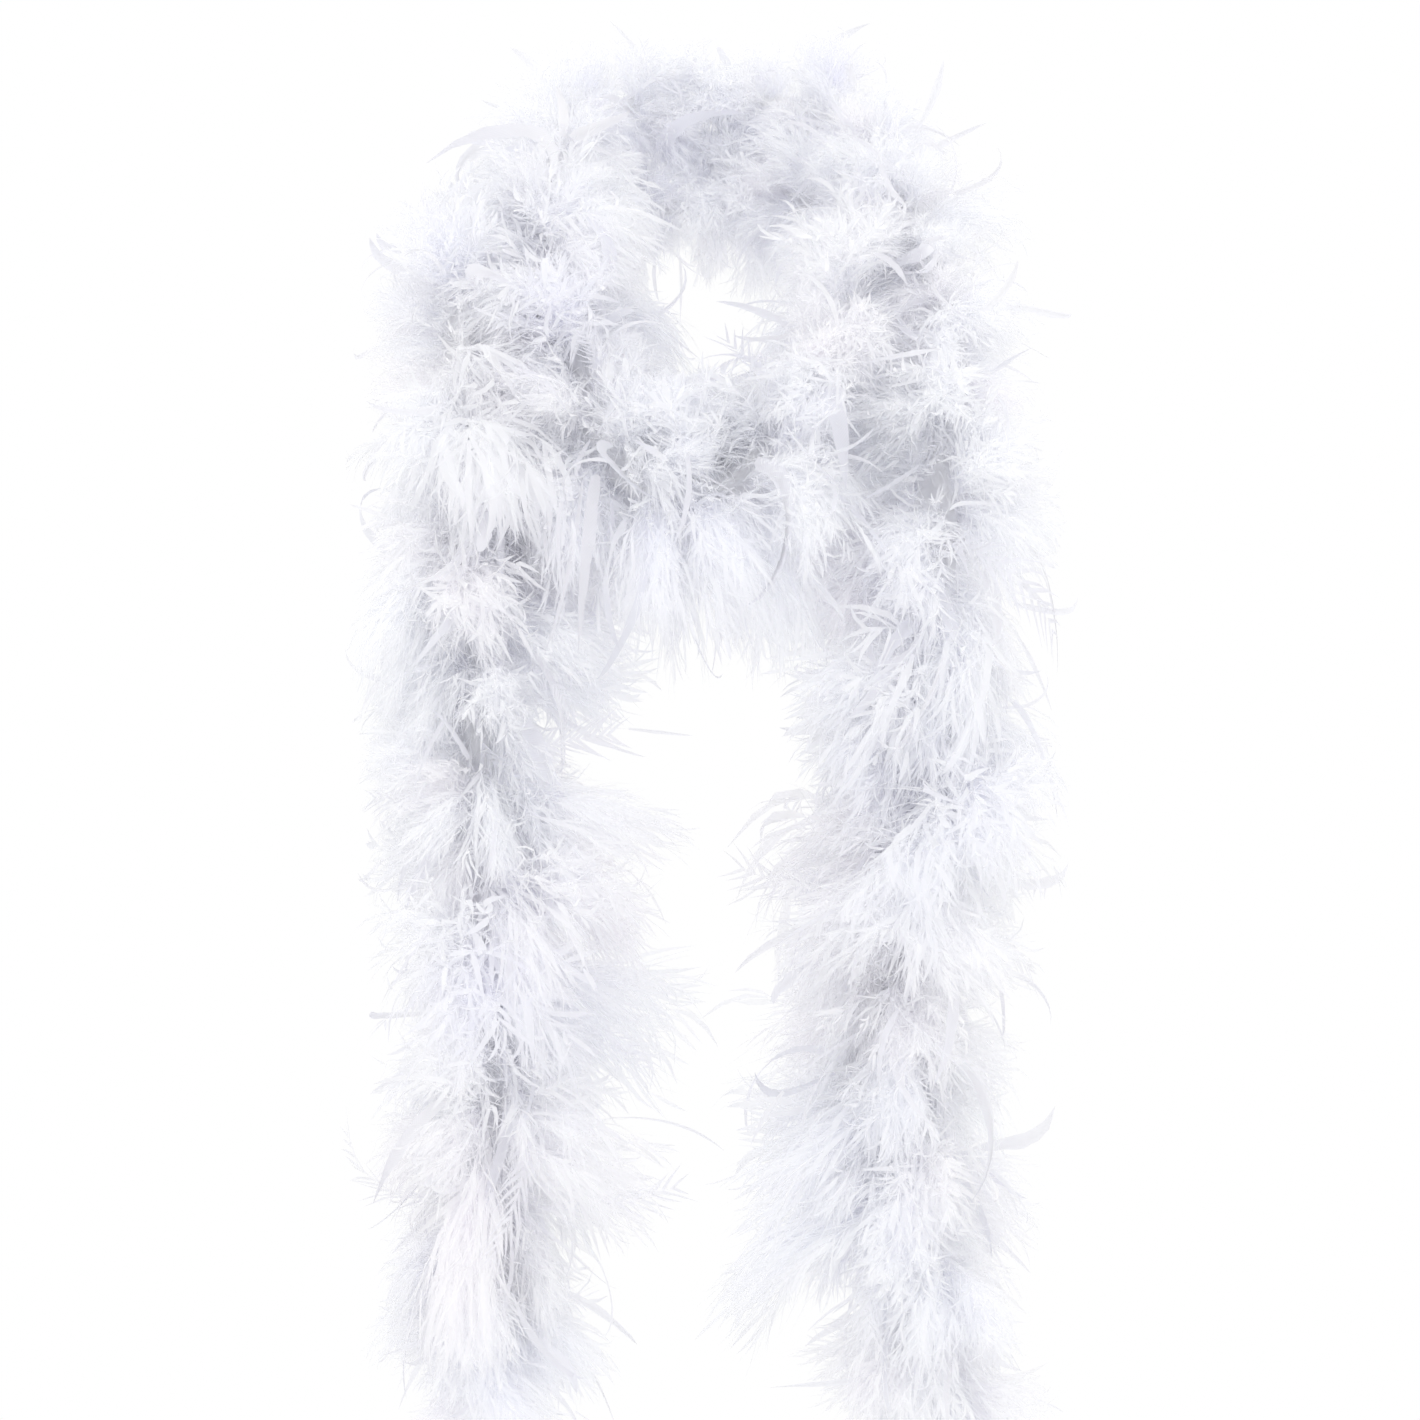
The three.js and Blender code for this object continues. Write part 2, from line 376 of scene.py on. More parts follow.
def feather_material():
    """White feathers: down on the map's right half, blades with lines of barbs on its left.

    Up the map runs from the cord to the tips, and the tips carry painted shade, a little darker, so that
    the feathers' edges show against the white around them.
    Across it each feather is a little warm or cool, and each blade is painted somewhere from grey to
    white at random, as painted shade and painted highlight.
    """
    material, nodes, link = new_material("white_feather")
    place = nodes.new("ShaderNodeUVMap")
    place.uv_map = MAP
    split = nodes.new("ShaderNodeSeparateXYZ")
    link(place.outputs["UV"], split.inputs[0])
    # Painted shade: each feather's tips are a little darker than the rest of it, so that its edges show
    # against the white around it.
    painted_tip_shade = ramp(nodes, [
        (0.0, (0.99, 0.99, 1.0)), (0.45, (1.0, 1.0, 1.0)), (0.8, (0.985, 0.985, 0.995)),
        (1.0, (0.93, 0.93, 0.945))])
    link(split.outputs["Y"], painted_tip_shade.inputs[0])
    # On the down's half each feather is a little warm or cool. On the blades' half the colour runs from
    # grey to white: painted shade and painted highlight, given to the blades at random.
    tint = ramp(nodes, [
        (0.0, (0.89, 0.895, 0.925)), (0.22, (0.98, 0.98, 1.0)), (0.495, (0.95, 0.945, 0.955)),
        (0.505, (0.985, 0.985, 1.0)), (0.75, (0.995, 0.997, 1.0)), (1.0, (1.0, 0.994, 0.998))])
    link(split.outputs["X"], tint.inputs[0])
    colour = mixed(nodes, link, "MULTIPLY", 1.0, painted_tip_shade.outputs[0], tint.outputs[0])

    lines = nodes.new("ShaderNodeMath")
    lines.operation = "MULTIPLY"
    lines.inputs[1].default_value = BARB_LINES
    link(split.outputs["Y"], lines.inputs[0])
    wave = nodes.new("ShaderNodeMath")
    wave.operation = "PINGPONG"
    wave.inputs[1].default_value = 0.5
    link(lines.outputs[0], wave.inputs[0])
    blade = nodes.new("ShaderNodeMath")
    blade.operation = "LESS_THAN"
    blade.inputs[1].default_value = 0.5
    link(split.outputs["X"], blade.inputs[0])
    groove = nodes.new("ShaderNodeMath")
    groove.operation = "MULTIPLY"
    link(wave.outputs[0], groove.inputs[0])
    link(blade.outputs[0], groove.inputs[1])
    colour = mixed(nodes, link, "MIX", groove.outputs[0], colour, (0.9, 0.895, 0.925))

    shader = nodes.new("ShaderNodeBsdfPrincipled")
    gloss = ramp(nodes, [(0.0, (0.45,) * 3), (0.495, (0.5,) * 3), (0.505, (0.8,) * 3)])
    link(split.outputs["X"], gloss.inputs[0])
    link(gloss.outputs[0], shader.inputs["Roughness"])
    shader.inputs["Specular IOR Level"].default_value = 0.25
    link(colour, shader.inputs["Base Color"])
    glow = nodes.new("ShaderNodeBsdfTranslucent")
    link(colour, glow.inputs["Color"])
    both = nodes.new("ShaderNodeMixShader")
    both.inputs["Fac"].default_value = 0.75
    link(shader.outputs[0], both.inputs[1])
    link(glow.outputs[0], both.inputs[2])
    out = nodes.new("ShaderNodeOutputMaterial")
    link(both.outputs[0], out.inputs["Surface"])
    return material


cotton_cord = strand_material(
    "cotton_cord", dark=(0.80, 0.78, 0.73), light=(0.93, 0.91, 0.87),
    rough=0.9, scale=1500.0, bump=0.5)
binding_thread = strand_material(
    "binding_thread", dark=(0.86, 0.85, 0.82), light=(0.95, 0.94, 0.92),
    rough=0.6, scale=2500.0, bump=0.3)
white_feather = feather_material()

# ---- the core cord, its binding and its ends ---------------------------------------------

CORD_RADIUS = 2.0 * MM
PLY_RADIUS = 1.05 * MM     # each of the cord's two plies
CORD_TWIST = 12 * MM       # the length of one turn of the plies
THREAD_RADIUS = 0.32 * MM
THREAD_PITCH = 3.6 * MM    # between the turns of the thread that lashes the quills
QUILL_BUTTS = 420          # to a metre of cord
BUTT_LENGTH = 9 * MM
WHIPPING_LENGTH = 14 * MM
WHIPPING_PITCH = 0.9 * MM
LOOP_RADIUS = 9 * MM
PATH_STEP = 9 * MM         # between the points taken along each stretch of cord


def tube(line, sideways, radius, sides):
    """A closed round tube along a line; sideways is a direction across it at each point."""
    along = np.gradient(line, axis=0)
    along /= np.linalg.norm(along, axis=1)[:, None]
    a = sideways - along * (sideways * along).sum(1)[:, None]
    a /= np.linalg.norm(a, axis=1)[:, None]
    b = np.cross(along, a)
    radius = np.broadcast_to(radius, len(line))[:, None, None]
    turn = (np.arange(sides) * 2 * math.pi / sides)[None, :, None]
    rings = line[:, None] + radius * (a[:, None] * np.cos(turn) + b[:, None] * np.sin(turn))
    rows = len(line)
    i, j = np.meshgrid(np.arange(rows - 1), np.arange(sides), indexing="ij")
    i, j = i.ravel(), j.ravel()
    k = (j + 1) % sides
    walls = np.stack([i * sides + j, i * sides + k, (i + 1) * sides + k, (i + 1) * sides + j], 1)
    j = np.arange(sides)
    k = (j + 1) % sides
    none = np.full(sides, -1)
    far_ring = (rows - 1) * sides
    first_cap = np.stack([np.full(sides, rows * sides), k, j, none], 1)
    last_cap = np.stack([np.full(sides, rows * sides + 1), far_ring + j, far_ring + k, none], 1)
    points = np.vstack([rings.reshape(-1, 3), line[:1], line[-1:]])
    across = np.append(np.tile(np.abs(np.arange(sides) * 2 / sides - 1), rows), (0.5, 0.5))
    down = np.append(np.repeat(np.linspace(0, 1, rows), sides), (0, 1))
    return points, np.vstack([walls, first_cap, last_cap]), np.stack([across, down], 1)


def wound(s0, s1, away, pitch, radius, sides, phase=0.0, steps=10):
    """A strand wound round the route from s0 to s1, away from its middle."""
    s = np.linspace(s0, s1, max(3, round((s1 - s0) / pitch * steps)))
    turn = 2 * math.pi * s / pitch + phase
    radial = route.at(s, "side") * np.cos(turn)[:, None] + route.at(s, "up") * np.sin(turn)[:, None]
    return tube(route.at(s, "point") + radial * away, radial, radius, sides)


def smooth_piece(name, parts, material):
    piece = piece_from(mesh_from(name, *joined(parts)), material)
    piece.data.polygons.foreach_set("use_smooth", np.ones(len(piece.data.polygons), bool))
    return piece


def core_cord_piece(name, s0, s1):
    """One stretch of the two-ply cord, from bend point to bend point."""
    away = CORD_RADIUS - PLY_RADIUS
    plies = [wound(s0, s1, away, CORD_TWIST, PLY_RADIUS, 8, phase) for phase in (0, math.pi)]
    cord = smooth_piece(name, plies, cotton_cord)
    path = route.at(np.linspace(s0, s1, round((s1 - s0) / PATH_STEP) + 1), "point")
    return cord


def binding_piece(name, s0, s1, seed):
    """The thread that lashes the feathers on, with the feathers' cut quill ends under it."""
    rng = np.random.default_rng(seed)
    parts = [wound(s0, s1, CORD_RADIUS + 2.2 * THREAD_RADIUS, THREAD_PITCH, THREAD_RADIUS, 4)]
    for _ in range(round((s1 - s0) * QUILL_BUTTS)):
        s = rng.uniform(s0, s1 - BUTT_LENGTH) + np.linspace(0, BUTT_LENGTH, 4)
        turn = rng.uniform(0, 2 * math.pi)
        radial = route.at(s, "side") * math.cos(turn) + route.at(s, "up") * math.sin(turn)
        thick = np.array([0.25, 0.5, 0.45, 0.3]) * MM
        parts.append(tube(route.at(s, "point") + radial * (CORD_RADIUS + 0.2 * MM), radial, thick, 5))
    return smooth_piece(name, parts, binding_thread)


def whipping_piece(name, s0, s1):
    """Tight turns of thread that stop the cord's end fraying, with the thread's tucked tail."""
    away = CORD_RADIUS + 0.5 * WHIPPING_PITCH
    turns = wound(s0, s1, away, WHIPPING_PITCH, 0.49 * WHIPPING_PITCH, 6, steps=14)
    tail = wound(s0, s1, away + 0.7 * WHIPPING_PITCH, 90 * MM, 0.4 * WHIPPING_PITCH, 6, steps=90)
    return smooth_piece(name, [turns, tail], binding_thread)


def end_loop_piece(name, s, direction):
    """The cord turned back in a loop past its whipping, still twisted."""
    end, side = route.at(s, "point"), route.at(s, "side")
    onward = route.at(s, "along") * direction
    middle = end + onward * (LOOP_RADIUS + 2 * MM)
    turns = np.linspace(0.35, 2 * math.pi - 0.35, 14)
    ring = [middle + LOOP_RADIUS * (side * math.sin(a) - onward * math.cos(a)) for a in turns]
    inside = [end - onward * 5 * MM + side * MM * sign for sign in (0.6, -0.6)]
    line = smooth_line(np.array([inside[0], *ring, inside[1]]), 10)
    flat = np.cross(side, onward)
    ply = 0.6 * MM
    along = np.gradient(line, axis=0)
    along /= np.linalg.norm(along, axis=1)[:, None]
    other = np.cross(along, flat)
    turn = np.linspace(0, 12 * math.pi, len(line))[:, None]
    plies = []
    for phase in (0, math.pi):
        radial = flat * np.cos(turn + phase) + other * np.sin(turn + phase)
        plies.append(tube(line + radial * ply * 0.9, radial, ply, 7))
    return smooth_piece(name, plies, cotton_cord)


for order, (name, body, _) in enumerate(STRETCHES):
    s0, s1 = edges[order], edges[order + 1]
    cord = core_cord_piece(f"twisted_cord_{name}", s0, s1)
    binding = binding_piece(f"lashing_{name}", s0 + 1.5 * MM, s1 - 1.5 * MM, 400 + order)
    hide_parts(f"core_cord_{name}")
    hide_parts(f"quill_binding_{name}")
    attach(cord, body)
    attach(binding, body)

for side, s, direction in (("left", 0.0, -1), ("right", route.length, 1)):
    inner = s - direction * WHIPPING_LENGTH
    whipping = whipping_piece(f"whipping_{side}", min(s, inner), max(s, inner))
    loop = end_loop_piece(f"cord_loop_{side}", s, direction)
    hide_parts(f"end_whipping_{side}")
    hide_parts(f"end_loop_{side}")
    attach(whipping, f"{side}_tail_end")
    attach(loop, f"{side}_tail_end")

# ---- how full the boa is along the route -------------------------------------------

# The places where the boa swells or narrows, as shares of the route: how far the feathers
# stand out there, and by what share more on the side towards the wearer's middle.
FULLNESS = np.array([
    (0.00, 0.060, 0.15), (0.04, 0.089, 0.00), (0.08, 0.084, 0.10), (0.11, 0.074, 0.38),
    (0.14, 0.078, 0.15), (0.18, 0.087, 0.00), (0.22, 0.064, 0.00), (0.29, 0.040, 0.00),
    (0.40, 0.050, 0.00), (0.48, 0.072, 0.00), (0.55, 0.056, 0.00), (0.60, 0.051, 0.00),
    (0.64, 0.042, 0.00), (0.70, 0.038, 0.00), (0.74, 0.049, 0.00), (0.77, 0.043, 0.00),
    (0.82, 0.088, 0.12), (0.86, 0.082, -0.08), (0.90, 0.076, 0.28), (0.93, 0.087, 0.08),
    (0.955, 0.087, 0.16), (0.975, 0.070, 0.08), (1.00, 0.062, 0.08),
])
CLUMP = 0.058              # the length of one clump of feathers along the cord


def fullness(s):
    return np.interp(np.asarray(s) / route.length, FULLNESS[:, 0], FULLNESS[:, 1])


def noise_along(s, seed, scale):
    """Smooth random numbers from -1 to 1 along the route."""
    rng = np.random.default_rng(seed)
    knots = np.arange(-2, route.length / scale + 3)
    values = rng.uniform(-1, 1, len(knots))
    return np.interp(np.asarray(s) / scale, knots, values)


# ---- feathers, modelled root at the origin and growing along +Z --------------------------

DOWN_LENGTH = 0.060
BARB_LENGTH = 0.027
BARBS = 22
BARB_WIDTH = 0.0006
LOCK_WIDTH = 0.0019        # where barbs cling together and end in one tip
LOCKS = 9


def down_feather(seed):
    """A feather that is all loose down: a thin shaft with long soft barbs all round."""
    rng = np.random.default_rng(seed)
    shape = Shape()
    curve = rng.uniform(0.1, 0.5)
    heights = np.linspace(0, 1, 4)
    shaft = np.stack([
        DOWN_LENGTH * curve * heights ** 2 * 0.4, np.zeros(4), DOWN_LENGTH * heights], 1)
    shape.ribbon(shaft, [0.0009, 0.0007, 0.0004, 0], np.array([0.0, 1.0, 0.0]), 0.0, 0.6)
    locks = set(rng.permutation(BARBS)[:LOCKS])
    for k in range(BARBS):
        lock = k in locks
        t = 0.16 + 0.82 * (k + rng.uniform(0, 1)) / BARBS
        root = np.array([np.interp(t, heights, shaft[:, i]) for i in range(3)])
        turn = math.pi * (k % 2) + rng.normal(0, 0.75)
        out = np.array([math.sin(turn), math.cos(turn), 0.0])
        lean = math.radians(rng.uniform(24, 58) * (1.15 - 0.5 * t)) * (0.7 if lock else 1)
        heading = out * math.sin(lean) + np.array([0, 0, 1.0]) * math.cos(lean)
        reach = BARB_LENGTH * (0.55 + 0.6 * math.sin(math.pi * min(t + 0.1, 1.0)))
        reach = reach * rng.uniform(0.75, 1.15)
        bow = unit(np.cross(heading, rng.normal(0, 1, 3)))
        turn_step = rng.uniform(0.1, 0.6) if lock else rng.uniform(-0.35, 0.45)
        shares = (0.33, 0.33, 0.34) if lock else (0.55, 0.45)
        line, place = [root], root
        for share in shares:
            place = place + heading * reach * share
            line.append(place)
            heading = unit(turned(heading, bow, turn_step))
        across = bow if lock else unit(np.cross(heading, rng.normal(0, 1, 3)))
        width = LOCK_WIDTH * rng.uniform(0.6, 1.3) if lock else BARB_WIDTH
        widths = np.array([0.4, 1.0, 0.8, 0] if lock else [1.0, 0.7, 0]) * width
        shape.ribbon(np.array(line), widths, across, 0.25 * t, 0.55 + 0.45 * t)
    return shape.done()


def blade_feather(seed, length, width, curl, twist, stem=0.40):
    """A feather's flat blade with its shaft: two thin vanes in a shallow V, curling to a point.

    stem is the bare shaft below the blade, as a share of the length.
    """
    rng = np.random.default_rng(seed)
    shape = Shape()
    rows = 11
    place = np.zeros(3)
    heading = np.array([0.0, 0.0, 1.0])
    side = np.array([0.0, 1.0, 0.0])
    bow = side.copy()
    stem_line = [place]
    for _ in range(3):
        place = place + heading * length * stem / 3
        stem_line.append(place)
    shape.ribbon(np.array(stem_line), [0.0012, 0.0011, 0.001, 0], side, 0.0, 0.3)
    first = len(shape.points)
    for k in range(rows):
        t = k / (rows - 1)
        breadth = width * 0.02
        if k < rows - 1:
            breadth = width * math.sin(math.pi * (0.12 + t * 0.88) ** 0.75) ** 0.7
        normal = unit(np.cross(heading, side))
        ragged = rng.uniform(0.72, 1.08, 2)
        left = place - side * breadth / 2 * ragged[0] + normal * breadth * 0.18
        right = place + side * breadth / 2 * ragged[1] + normal * breadth * 0.18
        v = 0.35 + 0.65 * t
        shape.points += [left, place, right]
        shape.maps += [(0.0, v), (0.5, v - 0.04), (1.0, v)]
        step = length * (1 - stem) / (rows - 1)
        place = place + heading * step
        heading = unit(turned(heading, bow, curl / rows * (0.5 + 1.3 * t)))
        side = unit(turned(side, heading, twist / rows))
        side = unit(side - heading * (side @ heading))
        bow = unit(turned(bow, heading, twist / rows * 0.5))
    for k in range(rows - 1):
        a = first + 3 * k
        shape.faces += [(a, a + 1, a + 4, a + 3), (a + 1, a + 2, a + 5, a + 4)]
    return shape.done()


def fan_feather(seed, length=0.085, reach=0.021, curl=0.9):
    """A loose vane: barbs stuck together in twos and threes, side by side in one curved plane."""
    rng = np.random.default_rng(seed)
    shape = Shape()
    rows = 6
    heights = np.linspace(0, 1, rows)
    angle = curl * heights ** 1.5
    shaft = np.stack([
        np.sin(angle) * heights, np.zeros(rows), np.cos(angle * 0.8) * heights], 1) * length
    side = np.array([0.0, 1.0, 0.0])
    shape.ribbon(shaft, [0.0011, 0.001, 0.0008, 0.0006, 0.0004, 0], side, 0.0, 0.7)
    each_side = 13
    for k in range(2 * each_side):
        t = 0.30 + 0.68 * (k // 2 + 0.5) / each_side
        root = np.array([np.interp(t, heights, shaft[:, i]) for i in range(3)])
        ahead = np.array([np.interp(t + 0.05, heights, shaft[:, i]) for i in range(3)]) - root
        ahead = unit(ahead) if np.linalg.norm(ahead) > 1e-6 else np.array([0, 0, 1.0])
        normal = unit(np.cross(ahead, side))
        out = side * (1 if k % 2 else -1)
        lean = math.radians(rng.uniform(28, 46))
        heading = out * math.sin(lean) + ahead * math.cos(lean)
        far = reach * (0.5 + 0.6 * math.sin(math.pi * (t - 0.2) / 0.9)) * rng.uniform(0.8, 1.15)
        bow = rng.uniform(-0.15, 0.3)
        line = [root, root + heading * far * 0.55 + normal * far * bow * 0.3,
                root + heading * far + ahead * far * 0.12 + normal * far * bow]
        shape.ribbon(np.array(line), [0.0034, 0.0026, 0], unit(ahead), 0.3 + 0.2 * t, 0.75 + 0.25 * t)
    return shape.done()


down_feathers = [down_feather(seed) for seed in range(10)]
fan_feathers = [fan_feather(30 + k, curl=c) for k, c in enumerate((0.3, 0.9, 1.4, -0.7))]
blade_feathers = [
    blade_feather(50, 0.100, 0.0075, 1.5, 0.5), blade_feather(51, 0.095, 0.0090, 1.0, -0.8),
    blade_feather(52, 0.105, 0.0050, 2.4, 1.0), blade_feather(53, 0.090, 0.0065, -1.4, 0.3),
    blade_feather(54, 0.100, 0.0040, 2.0, -1.4), blade_feather(55, 0.085, 0.0105, 1.9, 0.6),
    blade_feather(56, 0.095, 0.0035, -2.2, 1.6), blade_feather(57, 0.100, 0.0045, 0.8, 2.0),
]
quill_feathers = [
    blade_feather(70, 0.100, 0.0024, 0.5, 0.4, 0.6), blade_feather(71, 0.105, 0.0030, -0.9, 1.2, 0.5),
    blade_feather(72, 0.095, 0.0020, 0.2, 0.2, 0.7),
]

# ---- tying feathers to the cord --------------------------------------------------------


def clump(s, turn):
    """How far feathers stand out at a place on the cord, beside the plain fullness."""
    s = np.asarray(s)
    wobble = 1.9 * noise_along(s, 11, 0.13)
    wave = np.cos(2 * math.pi * s / CLUMP + wobble + 0.9 * np.cos(turn + s * 31))
    lobes = np.cos(2 * turn + 6 * noise_along(s, 12, 0.09))
    return 1 + 0.10 * wave + 0.08 * lobes + 0.08 * noise_along(s, 13, 0.04)


def inward(s, radial):
    """How much further feathers stand out that point to the wearer's middle, as a factor."""
    more = np.interp(s / route.length, FULLNESS[:, 0], FULLNESS[:, 2])
    return 1 - more * np.sign(route.at(s, "point")[:, 0]) * radial[:, 0]


# The feathers keep inside the frame's box, grown by a share of its sides and a little more.
PROUD_SHARE = 0.03
PROUD = 8 * MM
low_corner, high_corner = (np.array(corner) for corner in cad_box)
grown = PROUD_SHARE * (high_corner - low_corner) + PROUD
ROOM = (low_corner - grown, high_corner + grown)
NECK = (0.0, -0.012, 0.036)      # the neck's place from above, and how near feathers reach
NECK_FOOT = -0.10                # below this height nothing holds them off
FAR = 9.0                        # a distance or a factor that stands for no limit
SWAG = (0.425, 0.50, 0.555)      # the swag's start, middle and end as shares of the route
SWAG_HANG = 0.4                  # how much lower its feathers hang, at its middle
SWAG_FLATTEN = -0.2              # and how much less those on top stand up
NEAREST_WALL = 0.012             # the least room that is counted to a wall of the room
WALL_SHARPNESS = 6               # how late, and how sharply, feathers bend before a wall


def kept_in_room(offsets, roots, s):
    """The swag's feathers hang lower, and all of them bend to stay inside the room."""
    share = s / route.length
    hang = np.interp(share, SWAG, (0, 1, 0))[:, None]
    offsets = offsets.copy()
    offsets[..., 2] *= 1 + hang * np.where(offsets[..., 2] < 0, SWAG_HANG, SWAG_FLATTEN)
    for axis in range(3):
        low = np.maximum(roots[:, axis] - ROOM[0][axis], NEAREST_WALL)[:, None]
        high = np.maximum(ROOM[1][axis] - roots[:, axis], NEAREST_WALL)[:, None]
        limit = np.where(offsets[..., axis] < 0, low, high)
        crowding = np.abs(offsets[..., axis] / limit) ** WALL_SHARPNESS
        offsets[..., axis] /= (1 + crowding) ** (1 / WALL_SHARPNESS)
    return offsets


def way_to_neck(places, headings):
    """How far it is from each place to the neck along its heading, or a large number."""
    x, y, radius = NECK
    flat = headings[:, :2]
    gap = places[:, :2] - (x, y)
    a = (flat ** 2).sum(1) + 1e-9
    b = (flat * gap).sum(1)
    inside = b ** 2 - a * ((gap ** 2).sum(1) - radius ** 2)
    way = (-b - np.sqrt(np.maximum(inside, 0))) / a
    met = (inside > 0) & (way > 0) & (places[:, 2] + way * headings[:, 2] > NECK_FOOT)
    return np.where(met, way, FAR)


def headings_at(s, turn, lean):
    along, side, up = (route.at(s, what) for what in ("along", "side", "up"))
    radial = side * np.cos(turn)[:, None] + up * np.sin(turn)[:, None]
    return along, radial, radial * np.cos(lean)[:, None] + along * np.sin(lean)[:, None]


BEND_AT = 0.07                   # how far from a feather's root its bend is measured
ROOT_DEPTH = 0.003               # how far from the cord's middle a feather is tied
TINT_BAND = 0.012                # the width of the strip of map that one feather takes


def placed(shape, s, turn, lean, spin, size, bend, tint, half):
    """Copies of a feather, rooted on the cord at lengths s and angles turn round it.

    bend is how far a point BEND_AT from the root is pushed over, as a vector for each. half
    is the half of the map that the feather lies on, 0 for blades and 1 for down.
    """
    along, radial, grow = headings_at(s, turn, lean)
    flat = np.cross(grow, along)
    flat /= np.linalg.norm(flat, axis=1)[:, None]
    third = np.cross(grow, flat)
    x_axis = flat * np.cos(spin)[:, None] + third * np.sin(spin)[:, None]
    y_axis = np.cross(grow, x_axis)
    basis = np.stack([x_axis, y_axis, grow], 2) * size[:, None, None]
    moved = np.einsum("cij,pj->cpi", basis, shape.points)
    away = np.linalg.norm(moved, axis=2)
    moved += bend[:, None, :] * (away[..., None] / BEND_AT) ** 2
    moved *= (away / np.maximum(np.linalg.norm(moved, axis=2), 1e-6))[..., None]
    moved += radial[:, None] * ROOT_DEPTH
    roots = route.at(s, "point")
    moved = kept_in_room(moved, roots, s) + roots[:, None]
    maps = np.empty((len(s), len(shape.maps), 2))
    maps[..., 0] = (half + tint[:, None] + (shape.maps[None, :, 0] - 0.5) * TINT_BAND) / 2
    maps[..., 1] = shape.maps[None, :, 1]
    faces = shape.faces[None] + (np.arange(len(s)) * len(shape.points))[:, None, None]
    faces = np.where(shape.faces[None] < 0, -1, faces)
    return moved.reshape(-1, 3), faces.reshape(-1, 4), maps.reshape(-1, 2)


# Feathers lean towards the loose ends: how far, in radians, by share of the route.
LEAN = [(0, -0.9), (0.012, -0.6), (0.04, -0.4), (0.17, -0.3), (0.25, 0), (0.75, 0), (0.83, 0.3),
        (0.96, 0.4), (0.988, 0.6), (1, 0.9)]


GOLDEN_ANGLE = 2.39996     # from one tuft to the next, round the cord


def tie_tufts(shapes, tufts, each, s0, s1, rng, natural, reach, lean, spread, droop, curl, shade,
              half=0, largest=FAR):
    """Ties tufts of feathers between s0 and s1, each tuft with its own heading, curl and tint.

    natural is a shape's own length, reach how far a tuft stands out as shares of the fullness,
    spread how far the feathers of one tuft part, in radians, and largest how many times its
    own size a feather may be.
    """
    order = (np.arange(tufts) + rng.uniform(0, 1, tufts)) / tufts
    tuft_s = s0 + (s1 - s0) * order
    tuft_turn = GOLDEN_ANGLE * np.arange(tufts) + rng.uniform(0, 2 * math.pi) + rng.normal(0, 0.4, tufts)
    tuft_lean = rng.normal(0, lean, tufts) + np.interp(tuft_s / route.length, *np.array(LEAN).T)
    tuft_reach = fullness(tuft_s) * clump(tuft_s, tuft_turn) * rng.uniform(*reach, tufts)
    _, radial, grow = headings_at(tuft_s, tuft_turn, tuft_lean)
    tuft_reach *= inward(tuft_s, radial)
    way = way_to_neck(route.at(tuft_s, "point"), grow)
    tuft_size = np.minimum(np.minimum(tuft_reach, np.maximum(way, 0.02)) / natural, largest)
    tuft_bend = rng.normal(0, curl, (tufts, 3))
    tuft_bend[:, 2] -= rng.uniform(*droop, tufts)
    tuft_tint = 0.5 + 0.2 * noise_along(tuft_s, 21, 0.05) + rng.normal(0, shade, tufts)

    pick = np.repeat(np.arange(tufts), each)
    n = len(pick)
    s = tuft_s[pick] + rng.normal(0, 0.0035, n)
    turn = tuft_turn[pick] + rng.normal(0, spread, n)
    leans = tuft_lean[pick] + rng.normal(0, spread, n)
    size = tuft_size[pick] * rng.uniform(0.78, 1.1, n)
    bend = tuft_bend[pick] + rng.normal(0, curl * 0.35, (n, 3))
    tint = np.clip(tuft_tint[pick] + rng.normal(0, 0.04, n), 0.02, 0.98)
    spin = rng.uniform(0, 2 * math.pi, n)
    kinds = rng.integers(0, len(shapes), n)
    parts = []
    for kind, shape in enumerate(shapes):
        k = kinds == kind
        if k.any():
            parts.append(placed(shape, s[k], turn[k], leans[k], spin[k], size[k], bend[k],
                                tint[k], half))
    return parts


# How many to a metre of cord.
DOWN_TUFTS = 215
DOWN_EACH = 26             # feathers in each tuft of down
SHORT_DOWN = 1150          # single short down feathers, next to the cord
FANS = 45
BLADES = 340
QUILLS = 30


def feather_piece(name, s0, s1, seed, material):
    rng = np.random.default_rng(seed)
    length = s1 - s0
    parts = tie_tufts(down_feathers, round(length * DOWN_TUFTS), DOWN_EACH, s0, s1, rng,
                      natural=0.062, reach=(0.78, 1.18), lean=0.45, spread=0.19,
                      droop=(0.01, 0.045), curl=0.012, shade=0.14, half=1)
    parts += tie_tufts(down_feathers, round(length * SHORT_DOWN), 1, s0, s1, rng,
                       natural=0.062, reach=(0.42, 0.72), lean=0.5, spread=0.1,
                       droop=(0.0, 0.03), curl=0.014, shade=0.1, half=1)
    parts += tie_tufts(fan_feathers, round(length * FANS), 1, s0, s1, rng,
                       natural=0.085, reach=(0.9, 1.2), lean=0.5, spread=0.1,
                       droop=(0.01, 0.05), curl=0.012, shade=0.1)
    # shade spreads the blades over the grey-to-white half of the map, which is their painted shade and
    # painted highlight.
    parts += tie_tufts(blade_feathers, round(length * BLADES), 1, s0, s1, rng,
                       natural=0.085, reach=(1.0, 1.7), lean=0.6, spread=0.1,
                       droop=(0.01, 0.06), curl=0.014, shade=0.2, largest=1.2)
    parts += tie_tufts(quill_feathers, round(length * QUILLS), 1, s0, s1, rng,
                       natural=0.090, reach=(1.1, 1.45), lean=0.6, spread=0.1,
                       droop=(0.0, 0.02), curl=0.006, shade=0.1)
    points, faces, maps = joined(parts)
    return piece_from(mesh_from(name, points, faces, maps), material)


